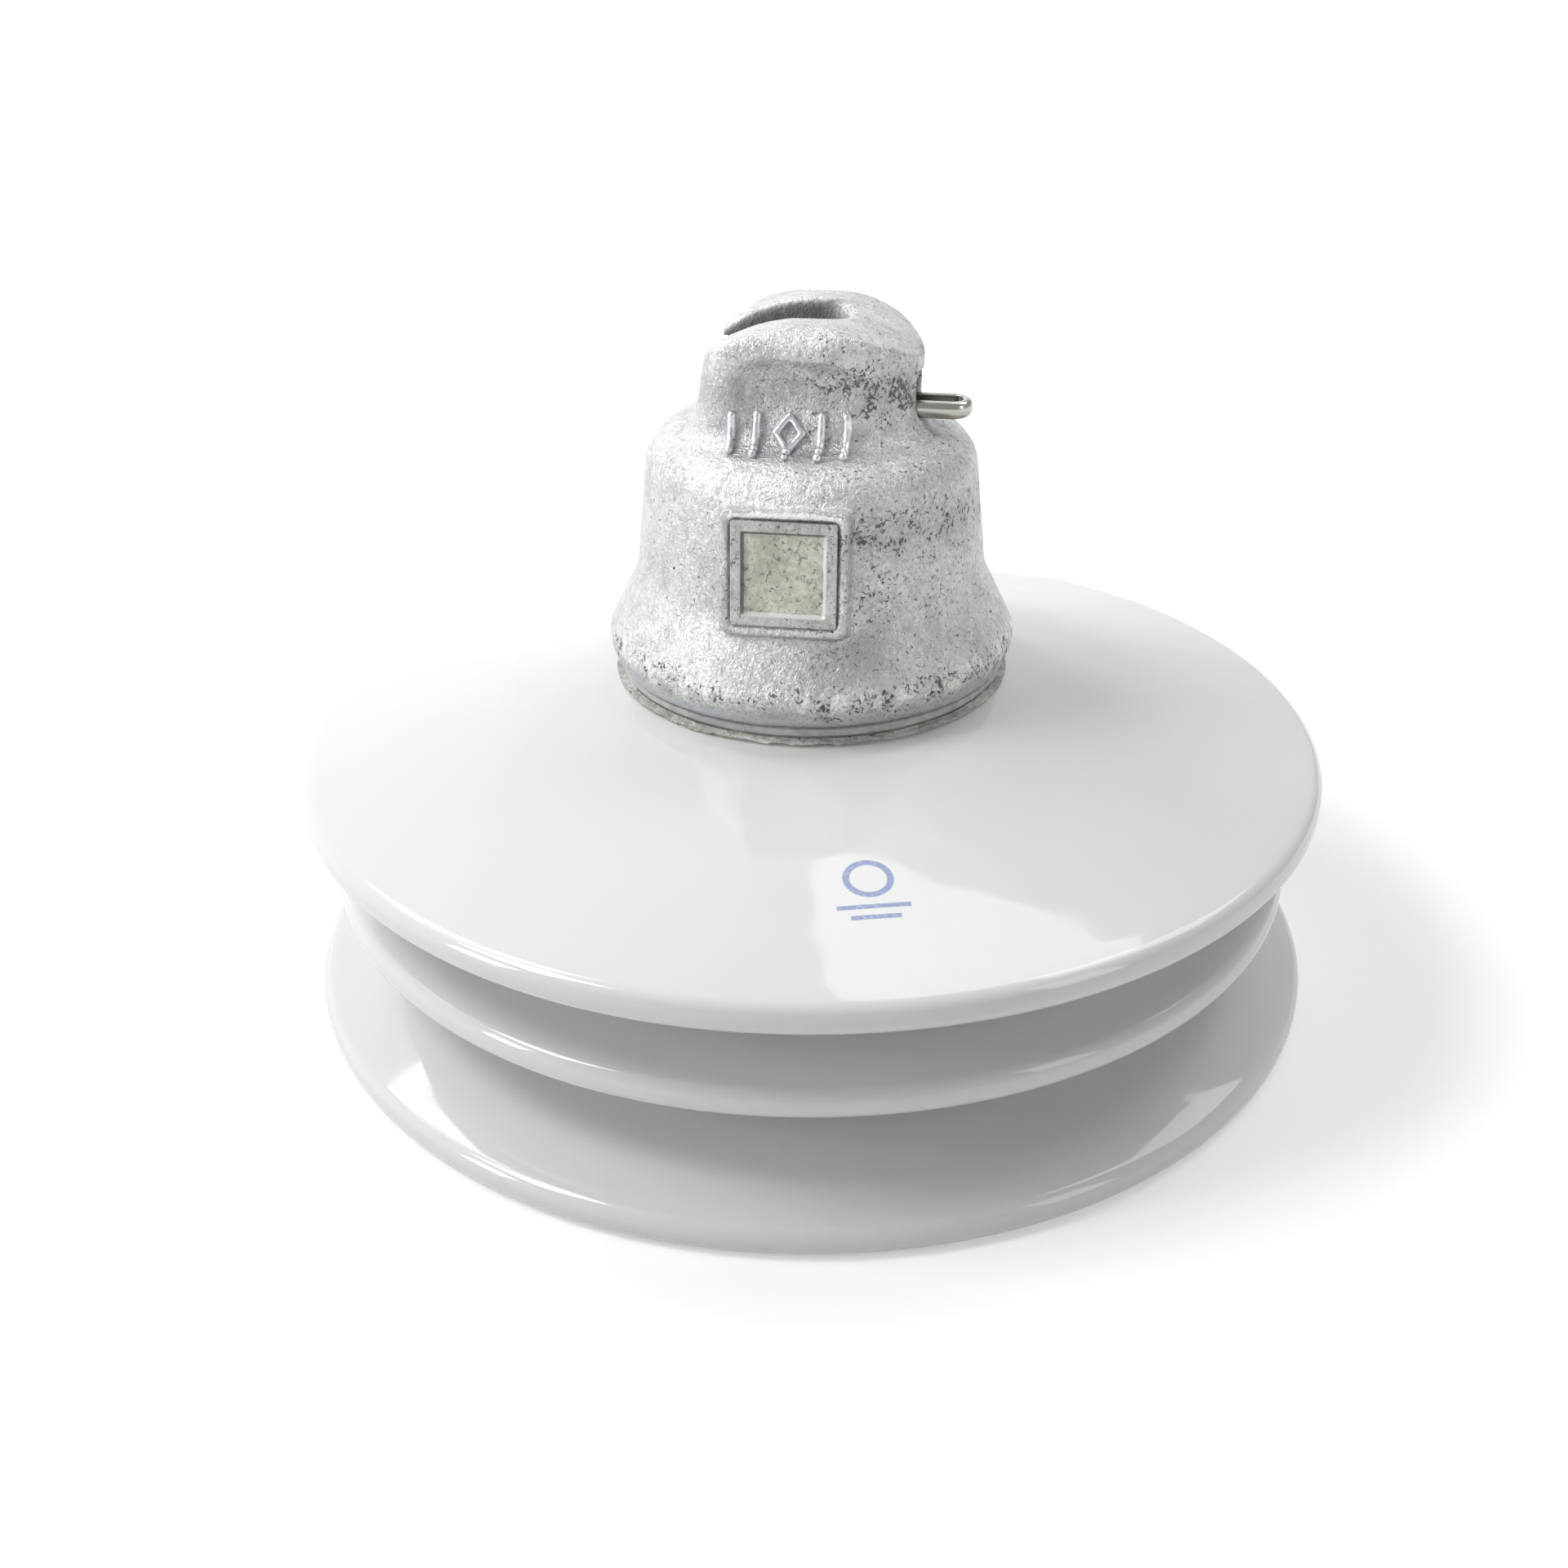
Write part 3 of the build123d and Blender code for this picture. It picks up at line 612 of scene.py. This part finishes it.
# %% Geometry tree: cast skin
skin, given, made = new_group("cast_skin", "GeometryNodeTree", [
    ("Casting", GEOMETRY), ("Wave Depth", FLOAT, 0.0002), ("Wave Size", FLOAT, 0.01),
    ("Grain Depth", FLOAT, 0.0001), ("Grain Size", FLOAT, 0.002), ("Finish", MATERIAL)],
    [("Geometry", GEOMETRY)])
skin.is_modifier = True
waves = put(skin, "ShaderNodeTexNoise", None, {
    "Scale": sum_of(skin, "DIVIDE", 1.0, given["Wave Size"]), "Detail": 2.0})
grains = put(skin, "ShaderNodeTexNoise", None, {
    "Scale": sum_of(skin, "DIVIDE", 1.0, given["Grain Size"]), "Detail": 3.0, "Roughness": 0.6})
depth = total(skin, product(skin, waves, given["Wave Depth"]),
              product(skin, grains, given["Grain Depth"]))
inwards = put(skin, "ShaderNodeVectorMath", {"operation": "SCALE"}, {
    0: put(skin, "GeometryNodeInputNormal"), "Scale": product(skin, depth, -1.0)})
moved = put(skin, "GeometryNodeSetPosition", None, {"Geometry": given["Casting"],
                                                    "Offset": inwards})
smooth = put(skin, "GeometryNodeSetShadeSmooth", None, {"Geometry": moved})
plain = put(skin, "GeometryNodeRealizeInstances", None, {"Geometry": smooth})
coated = put(skin, "GeometryNodeSetMaterial", None,
             {"Geometry": plain, "Material": given["Finish"]})
skin.links.new(coated, made["Geometry"])
print("cast_skin has", len(skin.nodes), "nodes")


# %% Copy and remesh
def merged_copy(node):
    """The welded mesh of a CAD node, in a bmesh."""
    work = bmesh.new()
    work.from_mesh(nodes[node].data)
    bmesh.ops.remove_doubles(work, verts=work.verts, dist=2e-6)
    return work


def cast(name, work, square, soften, **depths):
    """Remeshes a bmesh into even squares, softens it, and gives it the cast skin."""
    mesh = bpy.data.meshes.new(name)
    work.to_mesh(mesh)
    work.free()
    rough = bpy.data.objects.new(name + "_work", mesh)
    bpy.context.scene.collection.objects.link(rough)
    remesh = rough.modifiers.new("even_squares", "REMESH")
    remesh.mode = "VOXEL"
    remesh.voxel_size = square
    relax = rough.modifiers.new("relax", "SMOOTH")
    relax.factor = 0.5
    relax.iterations = soften
    even = plain_mesh(rough).data
    bpy.data.objects.remove(rough)
    return grow(name, even, skin, **depths)


# %% [markdown]
# ## Raised marks
# Foundries raise marks on a cap so that they last under the zinc. Here they are plain tallies:
# bars, a lozenge and bars. Each stroke is a row of small balls that follows the surface, found by
# looking at the cap from the front. The balls are remeshed by themselves, at a finer size than the
# cap, which gives the same swollen strokes that sand casting does. They take the brighter, smoother
# zinc of the pin, which paints a highlight on the strokes where light catches their tops.

# %% Raised marks
iron = merged_copy("cap")
surface = BVHTree.FromBMesh(iron)
strokes = bmesh.new()


def stroke(start, end, thickness=1.5, proud=0.45):
    """A raised line on the front of the cap, between two (x, z) points in millimetres."""
    a, b = Vector(start), Vector(end)
    steps = max(1, math.ceil((b - a).length / 0.5))
    for k in range(steps + 1):
        x, z = a.lerp(b, k / steps)
        hit = surface.ray_cast(Vector((x * MM, -0.08, z * MM)), Vector((0, 1, 0)))
        centre = hit[0] + hit[1] * proud * MM
        bmesh.ops.create_icosphere(strokes, subdivisions=2, radius=thickness * MM,
                                   matrix=Matrix.Translation(centre))


MARK_LOW, MARK_HIGH = 170.2, 178.6
for x in (-17.5, -10.8, 6.6, 13.3):
    stroke((x, MARK_LOW), (x, MARK_HIGH))
lozenge = [(-2.0, MARK_LOW), (1.6, 174.4), (-2.0, MARK_HIGH), (-5.6, 174.4), (-2.0, MARK_LOW)]
for start, end in zip(lozenge, lozenge[1:]):
    stroke(start, end, 1.25)
print("the strokes have", len(strokes.verts), "points")

# %% Cast the cap
cap = cast("iron_cap", iron, 0.95 * MM, 2, Wave_Depth=0.45 * MM, Wave_Size=0.012,
           Grain_Depth=0.22 * MM, Grain_Size=0.0022, Finish=cap_zinc)
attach(cap, "insulator")
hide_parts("cap")
report(cap)

# The marks wear the brighter pin zinc as a painted highlight on their tops.
marks = cast("foundry_marks", strokes, 0.3 * MM, 3, Wave_Depth=0.25 * MM, Wave_Size=0.003,
             Grain_Depth=0.15 * MM, Grain_Size=0.0012, Finish=pin_zinc)
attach(marks, "insulator")
report(marks)

# %% [markdown]
# ## The tag
# The tag is a separate square plate with a raised rim, pressed into a frame that is cast on the
# cap. It goes through the same remesh at a finer size, so its rim looks rolled and not milled.

# %% Tag plate
tag = cast("tag_blank", merged_copy("tag_plate"), 0.32 * MM, 3, Wave_Depth=0.12 * MM,
           Wave_Size=0.006, Grain_Depth=0.06 * MM, Grain_Size=0.0015, Finish=tag_finish)
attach(tag, "insulator")
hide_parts("tag_plate")
report(tag)

# %% [markdown]
# ## Cement, with its ragged lip
# Cement fills the cap round the porcelain head. Under the rim it shows as a smooth collar, where
# the cap's assembly ring pressed it, and below a dark joint it has a torn edge on the glaze. Both
# are turned shapes. The torn edge uses the same tree with its raggedness turned up.

# %% Turn the cement
for name in ("cap_cement", "pin_cement"):
    dress(nodes[name], cement)
for name in ("head_cushion", "pin_cushion"):
    dress(nodes[name], cushion)


def shed_face(r):
    """Height of the top shed's upper face at a radius, in millimetres."""
    return CEMENT_LINE_Z - TOP_SLOPE * (r - CEMENT_LINE_R)


CAP_RIM, CAP_ROOF = 101.4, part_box("cap_cement")[1].z / MM
fill = [(0, HEAD_TOP + 2.5), (26.5, HEAD_TOP + 2.5), (26.5, HEAD_TOP), (36.5, HEAD_TOP),
        (36.5, shed_face(36.5)), (54.3, shed_face(54.3)), (54.3, 98.5), (55.6, 98.8),
        (55.8, 100.9), (54.6, CAP_RIM), (50.5, CAP_RIM), (42.5, 130.5), (39.5, CAP_ROOF),
        (0, CAP_ROOF)]
collar = grow("cement_collar", outline_mesh("collar_outline", rounded_outline(
    fill, [0, 0, 0, 10, 10, 0, 0.4, 0.5, 0.5, 0.3, 0, 15, 12, 0], 4.0, 6)), turned,
    Segments=256, Unevenness=0.2 * MM, Wave_Size=0.02, Raggedness=0.1 * MM, Finish=collar_grout)
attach(collar, "insulator")
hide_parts("cap_cement")
report(collar)

# %% Torn edge
lip = [(53.0, shed_face(53.0) - 1.5), (57.4, shed_face(57.4) - 0.8), (57.0, shed_face(57.0) + 0.4),
       (55.9, shed_face(55.9) + 1.3), (53.0, 98.4), (53.0, shed_face(53.0) - 1.5)]
flash = grow("cement_flash", outline_mesh("flash_outline", rounded_outline(
    lip, [0, 0.2, 0.5, 0.6, 0, 0], 0.5, 4)), turned, Segments=420, Unevenness=2.0 * MM,
    Wave_Size=0.006, Raggedness=1.6 * MM, Finish=cement)
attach(flash, "insulator")
report(flash)

# %% [markdown]
# ## The pin
# The pin is forged and turned: a ball that sits in the next unit's socket, a shank, a collar at
# the mouth of the porcelain, and a spread head buried in cement. It is round, so the turning tree
# makes it as well, from the same corners as the solid.

# %% Turn the pin
BALL_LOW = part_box("ball_pin")[0].z / MM
PIN_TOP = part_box("ball_pin")[1].z / MM
SHOULDER = BALL_LOW + 13.4
BAND_TOP = SHOULDER - 4.4
COLLAR = 74.0
pin_corners = [(0, BALL_LOW), (11.65, BALL_LOW), (16.65, BAND_TOP - 4.2), (16.65, BAND_TOP),
               (10.5, SHOULDER), (8.5, SHOULDER + 2.0), (8.5, COLLAR), (14.0, COLLAR),
               (14.0, COLLAR + 6.0), (9.5, COLLAR + 6.0), (9.5, PIN_TOP - 12.0),
               (13.5, PIN_TOP - 3.0), (13.5, PIN_TOP), (0, PIN_TOP)]
pin_radii = [0, 3.0, 2.5, 1.5, 1.2, 3.0, 1.5, 1.5, 1.5, 2.0, 6.0, 1.0, 1.0, 0]
pin = grow("coupling_pin", outline_mesh("pin_outline", rounded_outline(
    pin_corners, pin_radii, 3.0, 8)), turned, Segments=128, Unevenness=0.12 * MM,
    Wave_Size=0.02, Finish=pin_zinc)
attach(pin, "insulator")
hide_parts("ball_pin")
report(pin)

# %% [markdown]
# ## The locking clip
# The clip is one length of half-round wire, folded flat side in, with an eye for the lineman's
# hook outside the cap and two splayed toes inside. A wire is the classic case for Curve to Mesh:
# the path is the bent line, and the profile is the half-round section.

# %% Geometry tree: wire along a path
wire_tree, given, made = new_group("wire_along_path", "GeometryNodeTree", [
    ("Path", GEOMETRY), ("Width", FLOAT, 0.0028), ("Height", FLOAT, 0.005),
    ("Finish", MATERIAL)], [("Geometry", GEOMETRY)])
wire_tree.is_modifier = True
path = put(wire_tree, "GeometryNodeMeshToCurve", None, {"Mesh": given["Path"]})
path = put(wire_tree, "GeometryNodeSetCurveNormal", {"mode": "Z_UP"}, {"Curve": path})
half_round = put(wire_tree, "GeometryNodeCurvePrimitiveCircle", {"mode": "RADIUS"},
                 {"Resolution": 32, "Radius": 1.0})
spot = put(wire_tree, "GeometryNodeInputPosition")
split = put(wire_tree, "ShaderNodeSeparateXYZ", None, {0: spot}).node.outputs
CUT = 0.55
flat = sum_of(wire_tree, "MAXIMUM", split[0], -CUT)
lifted = sum_of(wire_tree, "SUBTRACT", product(
    wire_tree, total(wire_tree, flat, CUT), 0.6452), 0.5)
rounder = product(wire_tree, sum_of(wire_tree, "SIGN", split[1]), sum_of(
    wire_tree, "POWER", sum_of(wire_tree, "ABSOLUTE", split[1]), 0.8))
shaped = put(wire_tree, "ShaderNodeCombineXYZ", None, {
    0: product(wire_tree, lifted, given["Width"]),
    1: product(wire_tree, rounder, 0.5, given["Height"])})
half_round = put(wire_tree, "GeometryNodeSetPosition", None,
                 {"Geometry": half_round, "Position": shaped})
tube = put(wire_tree, "GeometryNodeCurveToMesh", None, {
    "Curve": path, "Profile Curve": half_round, "Fill Caps": True})
smooth = put(wire_tree, "GeometryNodeSetShadeSmooth", None, {"Geometry": tube})
plain = put(wire_tree, "GeometryNodeRealizeInstances", None, {"Geometry": smooth})
coated = put(wire_tree, "GeometryNodeSetMaterial", None,
             {"Geometry": plain, "Material": given["Finish"]})
wire_tree.links.new(coated, made["Geometry"])

# %% Bend the clip
CLIP_Z = (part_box("locking_clip")[0].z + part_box("locking_clip")[1].z) / 2
leg = [(-6.0, -7.8), (-2.0, -4.4), (43.4, -4.4)]
other_leg = [(x, -y) for x, y in reversed(leg)]
bends = rounded_outline(leg + other_leg, [0, 4, 4.35, 4.35, 4, 0], 2.0, 12)
route = bpy.data.meshes.new("clip_route")
route.from_pydata([(p.x * MM, p.y * MM, CLIP_Z) for p in bends],
                  [(i, i + 1) for i in range(len(bends) - 1)], [])
clip = grow("clip_wire", route, wire_tree, Width=2.7 * MM, Height=4.9 * MM, Finish=clip_steel)
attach(clip, "clip")
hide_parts("locking_clip")
report(clip)

# %% [markdown]
# ## Floor, light and camera
# A pale part is shown on a pale ground. The floor is a matt white that shows a little brighter to
# the camera than the light on it, so it runs out to white but still takes the shadow. A broad key
# on the left gives the bright side, with a weaker one behind it and one low down that keeps the
# grooves between the sheds readable. Two on the right lift the far half. A window-shaped lamp and
# a strip stand behind the part, and are there for the patches of gloss that they leave on the
# glaze. Bare zinc mirrors the room, so the room is brighter on the left for mirrored rays.

# %% Floor
floor_mesh = bpy.data.meshes.new("studio_floor")
floor_mesh.from_pydata([(-8, -8, 0), (8, -8, 0), (8, 8, 0), (-8, 8, 0)], [], [(0, 1, 2, 3)])
floor = bpy.data.objects.new("studio_floor", floor_mesh)
bpy.context.scene.collection.objects.link(floor)
floor.location.z = -0.0002

paper, tree, shader, where = new_material("studio_paper", Roughness=0.9)
shader.inputs["Base Color"].default_value = (0.8, 0.8, 0.8, 1)
shader.inputs["Specular IOR Level"].default_value = 0.0
rays = put(tree, "ShaderNodeLightPath").node.outputs

seen = sum_of(tree, "MAXIMUM", rays["Is Camera Ray"], sum_of(
    tree, "MAXIMUM", rays["Is Glossy Ray"], rays["Is Transmission Ray"]))
shader.inputs["Emission Color"].default_value = (1, 1, 1, 1)
distance = put(tree, "ShaderNodeVectorMath", {"operation": "LENGTH"}, {0: where}, out="Value")
lift = ramp(tree, distance, 0.2, 1.2, 0.35, 1.0)
tree.links.new(product(tree, seen, lift), shader.inputs["Emission Strength"])
dress(floor, paper)

# %% World
world = bpy.data.worlds.new("white_studio")
bpy.context.scene.world = world
world.use_nodes = True
tree = world.node_tree
sky = tree.nodes["Background"]
sky.inputs["Color"].default_value = (1, 1, 1, 1)
rays = put(tree, "ShaderNodeLightPath").node.outputs
ROOM_LIGHT, BRIGHT_WALL = 0.22, (-0.90, 0.43, 0.0)
towards = put(tree, "ShaderNodeVectorMath", {"operation": "DOT_PRODUCT"}, {
    0: put(tree, "ShaderNodeTexCoord", out="Generated"), 1: BRIGHT_WALL}, out="Value")
mirrored = ramp(tree, towards, -0.15, 0.65, 0.50, 1.50)
shown = total(tree, rays["Is Camera Ray"], product(tree, rays["Is Glossy Ray"], mirrored))
tree.links.new(sum_of(tree, "MAXIMUM", shown, ROOM_LIGHT), sky.inputs["Strength"])


# %% Lamps
def lamp(name, watts, size, place, aim, tint=(1, 1, 1)):
    """A flat rectangular lamp at a place, aimed at a point."""
    data = bpy.data.lights.new(name, "AREA")
    data.shape = "RECTANGLE"
    data.size, data.size_y = size
    data.energy = watts
    data.color = tint
    made_lamp = bpy.data.objects.new(name, data)
    bpy.context.scene.collection.objects.link(made_lamp)
    made_lamp.location = place
    made_lamp.rotation_euler = (Vector(aim) - Vector(place)).to_track_quat("-Z", "Y").to_euler()
    return made_lamp


middle = (0, 0, 0.1)
lamp("key_left", 13.0, (0.6, 0.6), (-1.05, -0.40, 1.45), middle)
lamp("left_behind", 2.5, (0.6, 0.6), (-1.10, 0.28, 1.30), middle)
lamp("low_left", 5.0, (0.35, 0.5), (-1.30, -0.75, 0.60), middle)
lamp("right_side", 2.2, (0.35, 0.8), (1.15, -0.60, 0.60), middle)
lamp("right_behind", 6.0, (0.8, 0.8), (0.95, 0.60, 1.50), middle)
window = lamp("window_behind", 2.6, (0.65, 0.5), (0.29, 0.53, 1.25), middle)
window.rotation_euler = (0, 0, math.radians(20))
strip = lamp("strip_behind", 4.0, (0.95, 0.30), (-0.90, 0.46, 1.25), middle)
strip.rotation_euler = (0, 0, math.radians(-37.3))

# %% Camera
ELEVATION, AZIMUTH, DISTANCE = math.radians(26.57), math.radians(8.4), 0.5907
target = Vector((0, 0, 0.0709))
away = Vector((math.sin(AZIMUTH) * math.cos(ELEVATION), -math.cos(AZIMUTH) * math.cos(ELEVATION),
               math.sin(ELEVATION)))
camera = bpy.data.objects.new("camera", bpy.data.cameras.new("camera"))
bpy.context.scene.collection.objects.link(camera)
camera.data.lens = 45.0
camera.data.sensor_width = 36.0
camera.data.shift_x = -0.01755
camera.data.shift_y = -0.02984
camera.location = target + away * DISTANCE
camera.rotation_euler = (-away).to_track_quat("-Z", "Y").to_euler()
bpy.context.scene.camera = camera
bpy.context.scene.view_settings.view_transform = "Standard"
print("camera stands at", [round(c, 3) for c in camera.location])
